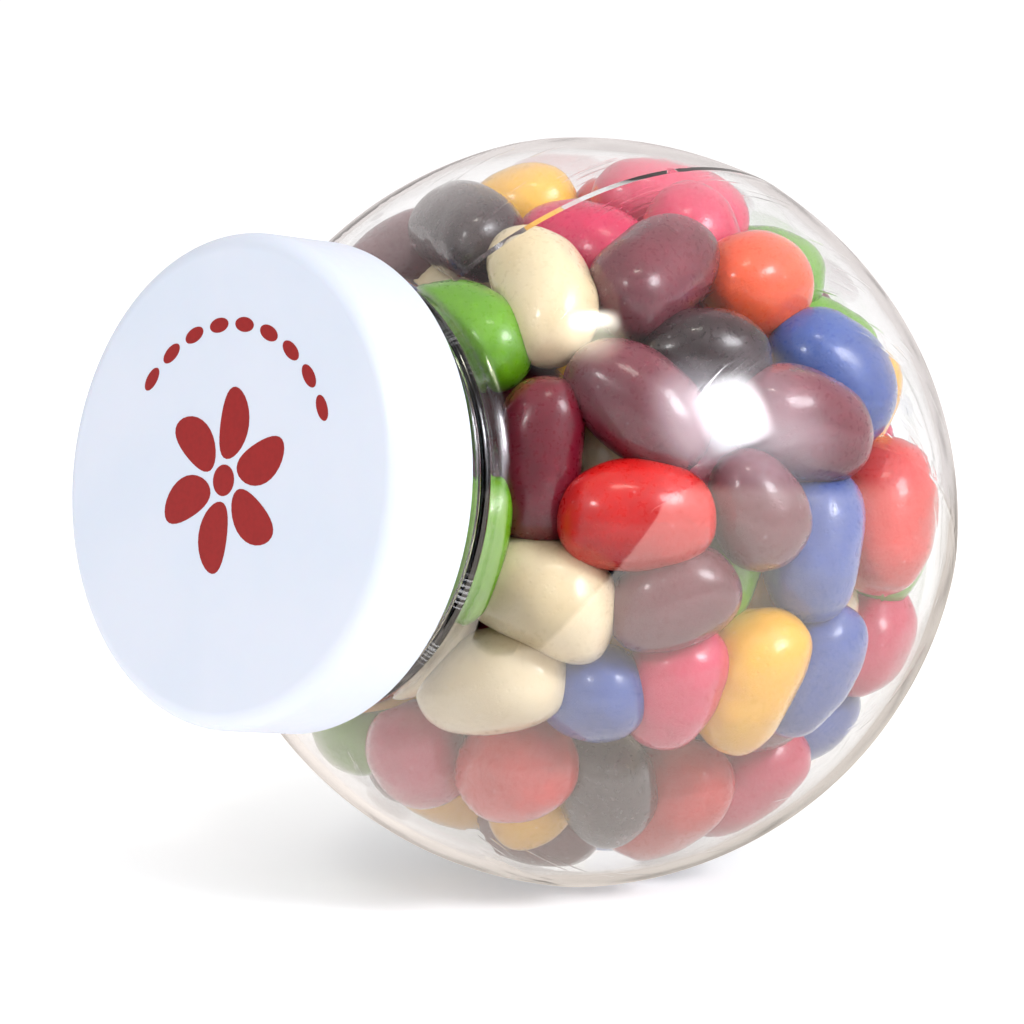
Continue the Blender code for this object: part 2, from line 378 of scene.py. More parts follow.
class Nodes:
    """A small helper that adds and joins the nodes of one material, lamp or world."""

    def __init__(self, name, tree=None):
        self.tree = tree
        if tree is not None:
            return
        self.material = bpy.data.materials.new(name)
        self.material.use_nodes = True
        self.tree = self.material.node_tree
        self.shader = self.tree.nodes["Principled BSDF"]
        self.output = self.tree.nodes["Material Output"]

    def add(self, kind, **settings):
        """A node of this kind, with its properties set."""
        node = self.tree.nodes.new("ShaderNode" + kind)
        for key, value in settings.items():
            setattr(node, key, value)
        return node

    def join(self, source, target):
        """A link from an output to an input."""
        self.tree.links.new(source, target)

    def coordinates(self):
        """The piece's own coordinates, in metres."""
        return self.add("TexCoord").outputs["Object"]

    def noise(self, per_metre, detail=2.0, roughness=0.5, stretch=None):
        """Soft noise with about this many lumps a metre."""
        texture = self.add("TexNoise")
        texture.inputs["Scale"].default_value = per_metre
        texture.inputs["Detail"].default_value = detail
        texture.inputs["Roughness"].default_value = roughness
        if stretch is None:
            self.join(self.coordinates(), texture.inputs["Vector"])
        else:
            mapping = self.add("Mapping")
            mapping.inputs["Scale"].default_value = stretch
            self.join(self.coordinates(), mapping.inputs["Vector"])
            self.join(mapping.outputs["Vector"], texture.inputs["Vector"])
        return texture.outputs["Fac"]

    def cells(self, per_metre, randomness=1.0):
        """The distance to the nearest of scattered points, about this many a metre."""
        texture = self.add("TexVoronoi")
        texture.inputs["Scale"].default_value = per_metre
        texture.inputs["Randomness"].default_value = randomness
        self.join(self.coordinates(), texture.inputs["Vector"])
        return texture

    def span(self, source, start, end, low=0.0, high=1.0):
        """A value between start and end, moved to lie between low and high."""
        node = self.add("MapRange", interpolation_type="SMOOTHSTEP")
        for key, value in (("From Min", start), ("From Max", end), ("To Min", low), ("To Max", high)):
            node.inputs[key].default_value = value
        self.join(source, node.inputs["Value"])
        return node.outputs["Result"]

    def math(self, operation, first, second):
        """One value worked out with another value or number."""
        node = self.add("Math", operation=operation)
        self.join(first, node.inputs[0])
        if isinstance(second, float):
            node.inputs[1].default_value = second
        else:
            self.join(second, node.inputs[1])
        return node.outputs[0]

    def times(self, first, second):
        """One value times another value or number."""
        return self.math("MULTIPLY", first, second)

    def blend(self, share, first, second):
        """A colour that goes from first to second with share."""
        node = self.add("Mix", data_type="RGBA")
        self.join(share, node.inputs["Factor"])
        for socket, colour in ((node.inputs[6], first), (node.inputs[7], second)):
            if isinstance(colour, tuple):
                socket.default_value = (*colour, 1.0)
            else:
                self.join(colour, socket)
        return node.outputs[2]

    def bump(self, height, depth, strength=1.0, under=None):
        """A bump of this depth in metres, over another."""
        node = self.add("Bump")
        node.inputs["Strength"].default_value = strength
        node.inputs["Distance"].default_value = depth
        self.join(height, node.inputs["Height"])
        if under is not None:
            self.join(under, node.inputs["Normal"])
        return node.outputs["Normal"]


def clear_plastic():
    """Moulded clear plastic: glossy, with faint hairline scratches, and open to lamps."""
    n = Nodes("clear plastic")
    n.shader.inputs["Base Color"].default_value = (0.985, 0.988, 0.992, 1.0)
    n.shader.inputs["Transmission Weight"].default_value = 1.0
    n.shader.inputs["IOR"].default_value = 1.57
    worn = n.noise(260.0, 3.0)
    n.join(n.span(worn, 0.45, 0.75, 0.006, 0.03), n.shader.inputs["Roughness"])
    hair = n.noise(900.0, 2.0, 0.6, stretch=(1.0, 0.04, 0.12))
    fine = n.bump(n.span(hair, 0.66, 0.72), 0.000012, 0.5)
    n.join(n.bump(n.noise(95.0, 1.0), 0.00009, 0.5, fine), n.shader.inputs["Normal"])
    lamp = n.add("LightPath")
    open_way = n.add("BsdfTransparent")
    open_way.inputs["Color"].default_value = (0.95, 0.95, 0.955, 1.0)
    choice = n.add("MixShader")
    n.join(lamp.outputs["Is Shadow Ray"], choice.inputs[0])
    n.join(n.shader.outputs[0], choice.inputs[1])
    n.join(open_way.outputs[0], choice.inputs[2])
    n.join(choice.outputs[0], n.output.inputs["Surface"])
    return n.material


def white_plastic():
    """The lid's satin white plastic, with the faint unevenness of a moulding."""
    n = Nodes("white plastic")
    cloud = n.span(n.noise(70.0, 3.0), 0.35, 0.7)
    n.join(n.blend(cloud, srgb(214, 220, 234), srgb(210, 218, 233)), n.shader.inputs["Base Color"])
    n.join(n.span(n.noise(900.0, 2.0), 0.3, 0.7, 0.34, 0.44), n.shader.inputs["Roughness"])
    n.shader.inputs["Subsurface Weight"].default_value = 0.08
    n.shader.inputs["Subsurface Scale"].default_value = 0.001
    grain = n.bump(n.noise(5200.0, 2.0), 0.00001, 0.35)
    n.join(n.bump(n.noise(60.0, 1.0), 0.00006, 0.3, grain), n.shader.inputs["Normal"])
    return n.material


def print_ink():
    """Dark red ink, printed on the lid."""
    n = Nodes("dark red ink")
    mottle = n.span(n.noise(1800.0, 3.0), 0.35, 0.7)
    n.join(n.blend(mottle, srgb(152, 14, 16), srgb(143, 11, 14)), n.shader.inputs["Base Color"])
    n.shader.inputs["Roughness"].default_value = 0.45
    n.join(n.bump(n.noise(4000.0, 2.0), 0.000008, 0.4), n.shader.inputs["Normal"])
    return n.material


def sugar_shell(name, plain, deep):
    """A bean's sugar shell: mottled, flecked and finely pitted, with a polished coat."""
    n = Nodes(name + " sugar shell")
    cloud = n.span(n.noise(120.0, 3.0, 0.55), 0.32, 0.72)
    tone = n.add("Attribute", attribute_name="tone").outputs["Fac"]
    base = n.blend(n.times(cloud, 0.55), plain, deep)
    base = n.blend(n.times(tone, 0.45), base, deep)
    pale = tuple(0.62 * c + 0.30 for c in plain)
    flecks = n.cells(420.0).outputs["Distance"]
    base = n.blend(n.span(flecks, 0.10, 0.04, 0.0, 0.35), base, pale)
    n.join(base, n.shader.inputs["Base Color"])
    n.join(n.span(n.noise(1500.0, 3.0, 0.6), 0.3, 0.7, 0.24, 0.42), n.shader.inputs["Roughness"])
    n.shader.inputs["IOR"].default_value = 1.44
    n.shader.inputs["Subsurface Weight"].default_value = 0.25
    n.shader.inputs["Subsurface Radius"].default_value = tuple(0.25 + 0.75 * c for c in plain)
    n.shader.inputs["Subsurface Scale"].default_value = 0.0012
    n.shader.inputs["Coat Weight"].default_value = 0.7
    n.shader.inputs["Coat Roughness"].default_value = 0.08
    pits = n.bump(n.span(n.cells(1300.0).outputs["Distance"], 0.05, 0.35), 0.00004, 0.35)
    dents = n.bump(n.noise(420.0, 3.0, 0.6), 0.00009, 0.4, pits)
    n.join(dents, n.shader.inputs["Normal"])
    return n.material


def shade_core_finish():
    """Painted shade: a near-black finish for the middle of the heap, where no light comes."""
    n = Nodes("dark middle")
    n.join(n.blend(n.noise(200.0), (0.03, 0.012, 0.016), (0.06, 0.02, 0.022)), n.shader.inputs["Base Color"])
    n.shader.inputs["Roughness"].default_value = 0.6
    return n.material


def ray_kinds(n):
    """1 for what is seen straight or through the clear shell, and 1 for what its surfaces mirror."""
    path = n.add("LightPath").outputs
    smooth_so_far = n.math("LESS_THAN", path["Diffuse Depth"], 0.5)
    mirrored = n.math("GREATER_THAN", path["Glossy Depth"], 0.5)
    plain = n.math("LESS_THAN", path["Glossy Depth"], 0.5)
    looked = n.math("MAXIMUM", path["Is Camera Ray"], path["Is Transmission Ray"])
    seen = n.times(n.times(looked, smooth_so_far), plain)
    outside = n.math("LESS_THAN", path["Transmission Depth"], 2.5)
    return seen, n.times(n.times(mirrored, outside), smooth_so_far)


def pale_floor():
    """A pale floor with a painted glow, weaker near the jar and stronger away from it, that the shell's mirror images
    leave out.
    """
    n = Nodes("pale floor")
    _, mirror = ray_kinds(n)
    n.join(n.blend(n.noise(3.0), (0.93, 0.93, 0.93), (0.95, 0.95, 0.95)), n.shader.inputs["Base Color"])
    n.shader.inputs["Roughness"].default_value = 0.9
    n.shader.inputs["Specular IOR Level"].default_value = 0.0
    # Painted light: the floor emits a glow, with less of it near the jar so a soft shadow shows there.
    far = n.add("VectorMath", operation="LENGTH")
    n.join(n.coordinates(), far.inputs[0])
    n.shader.inputs["Emission Color"].default_value = (1.0, 1.0, 1.0, 1.0)
    glow = n.span(far.outputs["Value"], 0.08, 0.5, *FLOOR_GLOW)
    n.join(glow, n.shader.inputs["Emission Strength"])
    nothing, choice = n.add("BsdfTransparent"), n.add("MixShader")
    n.join(mirror, choice.inputs[0])
    n.join(n.shader.outputs[0], choice.inputs[1])
    n.join(nothing.outputs[0], choice.inputs[2])
    n.join(choice.outputs[0], n.output.inputs["Surface"])
    n.material.cycles.emission_sampling = "NONE"
    return n.material


# ---------------------------------------------------------------- the jar


def jar_profile():
    """The jar's outside from the mouth down the neck and round the ball to the foot."""
    out = NECK_RADIUS + SHOULDER_FILLET
    along = math.sqrt((BALL_RADIUS + SHOULDER_FILLET) ** 2 - out**2)
    meet_deg = math.degrees(math.atan2(along, out))
    mouth = LID_RIM + LID_HEIGHT - LID_TOP - GAP
    shoulder_top = along
    neck = [(THREAD_RADIUS, mouth)]
    neck += between((THREAD_RADIUS, mouth - 0.0003), (THREAD_RADIUS, LID_RIM + 0.0012), 8)
    neck += [(THREAD_RADIUS, LID_RIM + 0.0012), (NECK_RADIUS + 0.0003, LID_RIM + 0.0002)]
    neck += between((NECK_RADIUS, LID_RIM - 0.0002), (NECK_RADIUS, BEAD_HEIGHT + BEAD_OUT), 8)
    neck += arc((NECK_RADIUS, BEAD_HEIGHT), BEAD_OUT, 85.0, -85.0, 14)
    neck += between((NECK_RADIUS, BEAD_HEIGHT - 1.1 * BEAD_OUT), (NECK_RADIUS, shoulder_top), 4)
    fillet = arc((out, along), SHOULDER_FILLET, 180.0, 180.0 + meet_deg, 12)
    heel_deg = -math.degrees(math.acos(BASE_RADIUS / BALL_RADIUS))
    ball = arc((0.0, 0.0), BALL_RADIUS, meet_deg, heel_deg, 96)[1:]
    foot = ball[-1][1]
    base = arc((BASE_RADIUS - 0.0016, foot + 0.0011), 0.0014, -40.0, -120.0, 8)
    base += between((BASE_RADIUS - 0.0034, foot - 0.0001), (BASE_RADIUS - 0.0056, foot + BASE_PUNT), 5)
    base += between((BASE_RADIUS - 0.0060, foot + 1.05 * BASE_PUNT), (0.0, foot + 1.4 * BASE_PUNT), 8)
    return neck + fillet + ball + base + [(0.0, foot + 1.4 * BASE_PUNT)]


def score_lines(mesh):
    """Cut the turned faces along the seam and the sides' edges, and keep those lines crisp."""
    lines = [(Vector(SEAM_NORMAL), SEAM_OFFSET)]
    lines += [(Vector((way, 0.0, 0.0)), SIDE_EDGE) for way in (1.0, -1.0)]
    form = bmesh.new()
    form.from_mesh(mesh)
    for normal, share in lines:
        every = form.verts[:] + form.edges[:] + form.faces[:]
        point = normal * share * BALL_RADIUS
        cut = bmesh.ops.bisect_plane(form, geom=every, dist=0.00008, plane_co=point, plane_no=normal)
        for edge in cut["geom_cut"]:
            if isinstance(edge, bmesh.types.BMEdge):
                middle = 0.5 * (edge.verts[0].co + edge.verts[1].co)
                if shape_share(np.array([middle.normalized()]))[0] > 0.3:
                    edge.smooth = False
    form.to_mesh(mesh)
    form.free()


def make_jar(finish):
    """The clear shell: turned finely, shaped to its sides and seam, then walled."""
    jar = turned("jar_shell", jar_profile(), 224)
    mesh = jar.data
    score_lines(mesh)
    rows = points_of(mesh)
    far = np.linalg.norm(rows, axis=1)
    ways = rows / far[:, None]
    stretch = ball_reach(ways) / BALL_RADIUS
    stretch += ripple(rows, 3, 6, 0.012, 0.03) * 0.00003 / BALL_RADIUS
    rows = rows * stretch[:, None]
    put_points(mesh, rows)
    mesh.transform(PLACE)
    wall = jar.modifiers.new("wall", "SOLIDIFY")
    wall.thickness = WALL
    wall.offset = -1.0
    wall.use_even_offset = True
    apply_modifiers(jar)
    rest_on_spot(jar.data)
    jar.data.materials.append(finish)
    return jar


def rest_on_spot(mesh):
    """Press what would be under the floor up to it, as the flat resting spot."""
    rows = points_of(mesh)
    rows[:, 2] = np.maximum(rows[:, 2], 0.0)
    put_points(mesh, rows)


# ---------------------------------------------------------------- the lid


def lid_profile():
    """The cap from the middle of its top, over its soft edge, and back up inside the skirt."""
    top = LID_RIM + LID_HEIGHT
    inner = LID_RADIUS - LID_SKIRT
    crown = [
        (share * (LID_RADIUS - LID_FILLET), top + LID_CROWN * (1.0 - share * share))
        for share in (i / 18 for i in range(19))
    ]
    edge = arc((LID_RADIUS - LID_FILLET, top - LID_FILLET), LID_FILLET, 88.0, 0.0, 14)
    skirt = between((LID_RADIUS, top - LID_FILLET - 0.0002), (LID_RADIUS, LID_RIM + 0.0008), 8)
    rim = arc((LID_RADIUS - 0.0004, LID_RIM + 0.0004), 0.0004, 0.0, -90.0, 5)
    rim += arc((inner + 0.0003, LID_RIM + 0.0003), 0.0003, -90.0, -180.0, 4)
    inside = between((inner, LID_RIM + 0.0010), (inner, top - LID_TOP - 0.0004), 8)
    inside += [(inner, top - LID_TOP - 0.0004), (inner - 0.0004, top - LID_TOP), (0.0, top - LID_TOP)]
    return crown + edge + skirt + rim + inside


def make_lid(finish):
    """The white screw lid, hollow over the neck."""
    lid = turned("lid_cap", lid_profile(), 192)
    lid.data.transform(PLACE)
    outward(lid)
    lid.data.materials.append(finish)
    return lid


def petal_outline(length, width, bend, steps=28):
    """A bean-shaped outline round its own middle, with its long way along Y."""
    points = []
    for i in range(steps):
        turn = math.tau * i / steps
        along = 0.5 * length * math.sin(turn)
        across = 0.5 * width * math.cos(turn) + bend * (1.0 - (2.0 * along / length) ** 2)
        points.append(Vector((across, along, 0.0)))
    return points


def flat_shape(name, outline, thickness):
    """A thin plate with this outline."""
    form = bmesh.new()
    face = form.faces.new([form.verts.new(point) for point in outline])
    raised = bmesh.ops.extrude_face_region(form, geom=[face])
    for item in raised["geom"]:
        if isinstance(item, bmesh.types.BMVert):
            item.co.z += thickness
    bmesh.ops.recalc_face_normals(form, faces=form.faces)
    mesh = bpy.data.meshes.new(name)
    form.to_mesh(mesh)
    form.free()
    return add_object(name, mesh)


def ring_tree():
    """Copies of one shape round a circle, each turned to point outwards."""
    tree = bpy.data.node_groups.new("shapes round a ring", "GeometryNodeTree")
    sockets = [("Geometry", "NodeSocketGeometry"), ("Shape", "NodeSocketObject"), ("Count", "NodeSocketInt"),
               ("Ring Radius", "NodeSocketFloat"), ("First Angle", "NodeSocketFloat"),
               ("Angle Step", "NodeSocketFloat"), ("Ink", "NodeSocketMaterial")]
    for name, kind in sockets:
        tree.interface.new_socket(name, in_out="INPUT", socket_type=kind)
    tree.interface.new_socket("Geometry", in_out="OUTPUT", socket_type="NodeSocketGeometry")
    add, join = tree.nodes.new, tree.links.new
    given, result = add("NodeGroupInput"), add("NodeGroupOutput")
    places = add("GeometryNodeMeshLine")
    places.inputs["Offset"].default_value = (0.0, 0.0, 0.0)
    index, angle = add("GeometryNodeInputIndex"), add("ShaderNodeMath")
    angle.operation = "MULTIPLY_ADD"
    turn, where, spot = add("ShaderNodeCombineXYZ"), add("ShaderNodeVectorRotate"), add("ShaderNodeCombineXYZ")
    where.rotation_type = "Z_AXIS"
    shape, copies = add("GeometryNodeObjectInfo"), add("GeometryNodeInstanceOnPoints")
    move, real, ink = add("GeometryNodeSetPosition"), add("GeometryNodeRealizeInstances"), add("GeometryNodeSetMaterial")
    join(given.outputs["Count"], places.inputs["Count"])
    join(index.outputs[0], angle.inputs[0])
    join(given.outputs["Angle Step"], angle.inputs[1])
    join(given.outputs["First Angle"], angle.inputs[2])
    join(angle.outputs[0], turn.inputs["Z"])
    join(given.outputs["Ring Radius"], spot.inputs["Y"])
    join(spot.outputs[0], where.inputs["Vector"])
    join(angle.outputs[0], where.inputs["Angle"])
    join(places.outputs[0], move.inputs["Geometry"])
    join(where.outputs[0], move.inputs["Position"])
    join(move.outputs[0], copies.inputs["Points"])
    join(given.outputs["Shape"], shape.inputs["Object"])
    join(shape.outputs["Geometry"], copies.inputs["Instance"])
    join(turn.outputs[0], copies.inputs["Rotation"])
    join(copies.outputs[0], real.inputs[0])
    join(real.outputs[0], ink.inputs["Geometry"])
    join(given.outputs["Ink"], ink.inputs["Material"])
    join(ink.outputs[0], result.inputs[0])
    return tree


def set_inputs(modifier, **values):
    """Set a nodes modifier's inputs by their names' identifiers."""
    for socket in modifier.node_group.interface.items_tree:
        if socket.item_type == "SOCKET" and socket.in_out == "INPUT":
            key = socket.name.lower().replace(" ", "_")
            if key in values:
                modifier[socket.identifier] = values[key]


def make_print(ink):
    """A plain printed motif: a rosette of bean shapes, and a bow of small dots under it."""
    tree = ring_tree()
    groups = [
        ("petal", petal_outline(0.0078, 0.0046, 0.0006), 6, 0.0062, 0.0, math.tau / 6),
        ("middle", petal_outline(0.0034, 0.0034, 0.0), 1, 0.0, 0.0, 0.0),
        ("dot", petal_outline(0.0016, 0.0030, 0.0), 9, 0.0168, math.radians(124.0), math.radians(14.0)),
    ]
    lift = LID_RIM + LID_HEIGHT + LID_CROWN
    joined = bmesh.new()
    for name, outline, count, radius, first, step in groups:
        shape = flat_shape(name, outline, 0.00006)
        holder = add_object(name + "_ring", bpy.data.meshes.new(name + "_ring"))
        nodes = holder.modifiers.new("ring", "NODES")
        nodes.node_group = tree
        set_inputs(nodes, shape=shape, count=count, ring_radius=radius, first_angle=first, angle_step=step, ink=ink)
        joined.from_mesh(evaluated_mesh(holder))
        bpy.data.objects.remove(holder)
        bpy.data.objects.remove(shape)
    mesh = bpy.data.meshes.new("lid_print")
    joined.to_mesh(mesh)
    joined.free()
    rows = points_of(mesh)
    out = np.hypot(rows[:, 0], rows[:, 1])
    rows[:, 2] += lift - LID_CROWN * (out / (LID_RADIUS - LID_FILLET)) ** 2 - 0.00003
    upright = Matrix.Rotation(math.radians(-SIDE_ROLL_DEG + 180.0), 3, "Z")
    rows = rows @ np.array(upright).T
    put_points(mesh, rows)
    mesh.transform(PLACE)
    mesh.materials.clear()
    mesh.materials.append(ink)
    return add_object("lid_print", mesh)


# ---------------------------------------------------------------- the beans' places


class Packing:
    """Beans as short bent chains of balls, settled against each other inside the jar."""

    STATIONS = np.array([-0.66, -0.36, 0.0, 0.36, 0.66])

    def __init__(self):
        self.rows = []

    def add(self, colour, centre, long_way, face_way, length, width, form, held):
        """One bean, in the jar's own axes. A held bean stays close to where it is laid."""
        self.rows.append((colour, centre, long_way, face_way, length, width, form, held))

    def settle(self, steps, shown):
        """Push the beans apart and off the wall, little by little, and last of all off the wall alone."""
        centre = np.array([row[1] for row in self.rows])
        way = np.array([row[2] for row in self.rows])
        flat = np.array([row[3] for row in self.rows])
        length = np.array([row[4] for row in self.rows])
        width = np.array([row[5] for row in self.rows])
        held = np.array([row[7] for row in self.rows], dtype=float)
        shape = np.array([BEAN_FORMS[row[6]] for row in self.rows])
        first, first_way = centre.copy(), way.copy()
        freedom = 1.0 - 0.92 * held
        drift = OUTWARD_DRIFT * (1.0 - held)[:, None] * (centre @ shown < 0.0)[:, None]
        along = self.STATIONS[None, :]
        thick = np.maximum(1.0 - np.abs(along) ** shape[:, :1], 0.0) ** (1.0 / shape[:, :1])
        full = 0.5 * width[:, None] * np.minimum(thick * (1.0 + shape[:, 1:2] * along), 0.99)
        lift = 0.5 * width[:, None] * shape[:, 2:3] * (0.45 - along**2)
        reach = 0.5 * length[:, None] * along
        for step in range(steps):
            grown = min(1.0, 0.6 + 0.6 * step / steps)
            if step % 10 == 0:
                pairs = self.near_pairs(centre)
            side = np.cross(flat, way)
            side /= np.linalg.norm(side, axis=1)[:, None]
            offset = (way[:, None, :] * reach[:, :, None] + side[:, None, :] * lift[:, :, None]) * grown
            balls = centre[:, None, :] + offset
            size = full * grown
            last = step > steps - LAST_STEPS
            push = self.apart(balls, size, pairs) * (0.15 if last else 1.0)
            off_wall = self.inside(balls, size)
            if last:
                freedom, drift = np.maximum(freedom, 0.5), 0.0 * drift
            push += off_wall
            move = push.sum(axis=1) / 3.0
            spin = np.cross(offset, push).sum(axis=1) / (offset**2).sum(axis=(1, 2))[:, None]
            far = np.linalg.norm(centre, axis=1)[:, None]
            centre = centre + move * freedom[:, None] + drift * np.where(far > 0.020, centre / far, 0.0)
            centre += (first - centre) * 0.15 * held[:, None]
            in_front = (centre @ shown > FRONT_DEPTH) & (np.linalg.norm(centre, axis=1) > FRONT_REACH)
            sink = np.where(in_front, 1.0 - held, 0.0) * 0.4 * (np.linalg.norm(centre, axis=1) - FRONT_REACH)
            centre -= centre / np.linalg.norm(centre, axis=1)[:, None] * sink[:, None]
            turn = 0.7 * spin * freedom[:, None]
            way = way + np.cross(turn, way) + (first_way - way) * 0.08 * held[:, None]
            flat = flat + np.cross(turn, flat)
            way /= np.linalg.norm(way, axis=1)[:, None]
            flat -= np.einsum("ij,ij->i", flat, way)[:, None] * way
            flat /= np.linalg.norm(flat, axis=1)[:, None]
        self.centre, self.way, self.flat = centre, way, flat

    @staticmethod
    def near_pairs(centre):
        """The pairs of beans that may touch."""
        far = np.linalg.norm(centre[:, None, :] - centre[None, :, :], axis=2)
        return np.argwhere(np.triu(far < 0.022, 1))

    @staticmethod
    def apart(balls, size, pairs):
        """How each ball moves off those that it presses into."""
        one, two = pairs[:, 0], pairs[:, 1]
        gap = balls[one][:, :, None, :] - balls[two][:, None, :, :]
        far = np.sqrt((gap**2).sum(axis=3)) + 1e-9
        press = np.maximum(size[one][:, :, None] + size[two][:, None, :] - far, 0.0)
        push = (0.5 * press / far)[..., None] * gap
        total = np.zeros_like(balls)
        np.add.at(total, one, push.sum(axis=2))
        np.add.at(total, two, -push.sum(axis=1))
        return total

    @staticmethod
    def inside(balls, size):
        """How each ball moves back inside the jar's wall, and off the core."""
        rows, size = balls.reshape(-1, 3), size.ravel()
        far = np.linalg.norm(rows, axis=1) + 1e-9
        ways = rows / far[:, None]
        room = ball_reach(ways) - WALL - WALL_CLEARANCE - size
        deep = math.sqrt(BALL_RADIUS**2 - BASE_RADIUS**2) - 1.4 * BASE_PUNT - WALL - WALL_CLEARANCE
        back = np.minimum(room - far, 0.0) + np.maximum(CORE_RADIUS + 0.6 * size - far, 0.0)
        push = ways * back[:, None]
        push[:, 2] += np.maximum(size - deep - rows[:, 2], 0.0)
        bore = NECK_RADIUS - WALL - WALL_CLEARANCE - size
        out = np.hypot(rows[:, 0], rows[:, 1]) + 1e-9
        in_neck = (rows[:, 2] > 0.026) & (out < bore + 0.0015)
        neck_push = np.zeros_like(push)
        neck_push[:, :2] = rows[:, :2] / out[:, None] * np.minimum(bore - out, 0.0)[:, None]
        neck_push[:, 2] = np.minimum(BEAN_FILL - size - rows[:, 2], 0.0)
        return 2.0 * np.where(in_neck[:, None], neck_push, push).reshape(balls.shape)


def own_view():
    """The direction towards the photographer, in the jar's own axes."""
    return np.array(PLACE.to_3x3().inverted() @ toward(VIEW_AZIMUTH_DEG, VIEW_ELEVATION_DEG))


def lay_shown_beans(packing):
    """The beans against the shown side of the wall, each lying along it."""
    right, up, back = facing(VIEW_AZIMUTH_DEG, VIEW_ELEVATION_DEG)
    own = PLACE.to_3x3().inverted()
    for colour, right_mm, up_mm, lean_deg, length, width, form, off_wall in SHOWN_BEANS:
        across = (right * right_mm + up * up_mm) / 1000.0
        toward_eye = math.sqrt(max(0.0355**2 - across.length_squared, 0.0))
        out = (across + back * toward_eye).normalized()
        reach = ball_reach(np.array([own @ out]))[0] - WALL - WALL_CLEARANCE
        from_centre = float(reach) - (0.5 * width + off_wall) / 1000.0
        depth = math.sqrt(max(from_centre**2 - across.length_squared, 0.0))
        centre = across + back * depth
        centre *= min(1.0, from_centre / centre.length)
        screen_way = right * math.cos(math.radians(lean_deg)) + up * math.sin(math.radians(lean_deg))
        long_way = (screen_way - out * out.dot(screen_way)).normalized()
        packing.add(colour, np.array(own @ centre), np.array(own @ long_way), np.array(own @ out),
                    length / 1000.0, width / 1000.0, form, True)


def lay_filling_beans(packing, chance):
    """The rest of the beans, scattered through the ball and the neck behind those that show."""
    colours = [name for name, (_, _, count) in BEAN_COLOURS.items() for _ in range(count)]
    chance.shuffle(colours)
    shown = own_view()
    taken = [row[1] for row in packing.rows]
    for colour in colours:
        for _ in range(200):
            way = chance.normal(size=3)
            way /= np.linalg.norm(way)
            centre = way * 0.036 * chance.uniform(0.12, 1.0) ** (1.0 / 3.0)
            if way[2] > 0.88:
                centre = centre * 1.12
            crowded = min(np.linalg.norm(centre - place) for place in taken) < 0.0090
            if not crowded and (centre @ shown < 0.006 or np.linalg.norm(centre) < 0.021):
                break
        taken.append(centre)
        long_way = chance.normal(size=3)
        long_way -= 0.8 * (long_way @ way) * way
        long_way /= np.linalg.norm(long_way)
        flat_way = np.cross(long_way, chance.normal(size=3))
        packing.add(colour, centre, long_way, flat_way / np.linalg.norm(flat_way), chance.uniform(0.0145, 0.0178),
                    chance.uniform(0.0102, 0.0117), int(chance.integers(0, 4)), False)


# ---------------------------------------------------------------- the beans' forms


def bean_form(name, blunt, taper, bend, pinch, fine):
    """One form of bean, 1 long and 1 across, with its long way along X and its flat way along Z."""
    form = bmesh.new()
    bmesh.ops.create_icosphere(form, subdivisions=5 if fine else 4, radius=1.0)
    rows = np.array([vertex.co for vertex in form.verts])
    along = np.clip(rows[:, 0], -1.0, 1.0)
    round_out = np.maximum(1.0 - np.abs(along) ** blunt, 0.0) ** (1.0 / blunt)
    across = np.linalg.norm(rows[:, 1:], axis=1) + 1e-9
    scale = round_out / across
    y, z = rows[:, 1] * scale, rows[:, 2] * scale
    widen = 1.0 + taper * along
    inner = smooth_step(y, 0.1, 0.9) * np.exp(-(along / 0.45) ** 2)
    y = y * widen - bend * along**2 + 0.45 * bend - pinch * inner
    z = z * widen
    for vertex, place in zip(form.verts, np.stack([along, y, z], axis=1) * 0.5):
        vertex.co = place
    mesh = bpy.data.meshes.new(name)
    form.to_mesh(mesh)
    form.free()
    return bpy.data.objects.new(name, mesh)


def bean_kinds():
    """The four forms of bean, first finely and then plainly made."""
    group = bpy.data.collections.new("bean kinds")
    bpy.context.scene.collection.children.link(group)
    for fine in (True, False):
        for i, (blunt, taper, bend, pinch) in enumerate(BEAN_FORMS):
            name = f"kind_{'a' if fine else 'b'}{i}"
            group.objects.link(bean_form(name, blunt, taper, bend, pinch, fine))
    return group


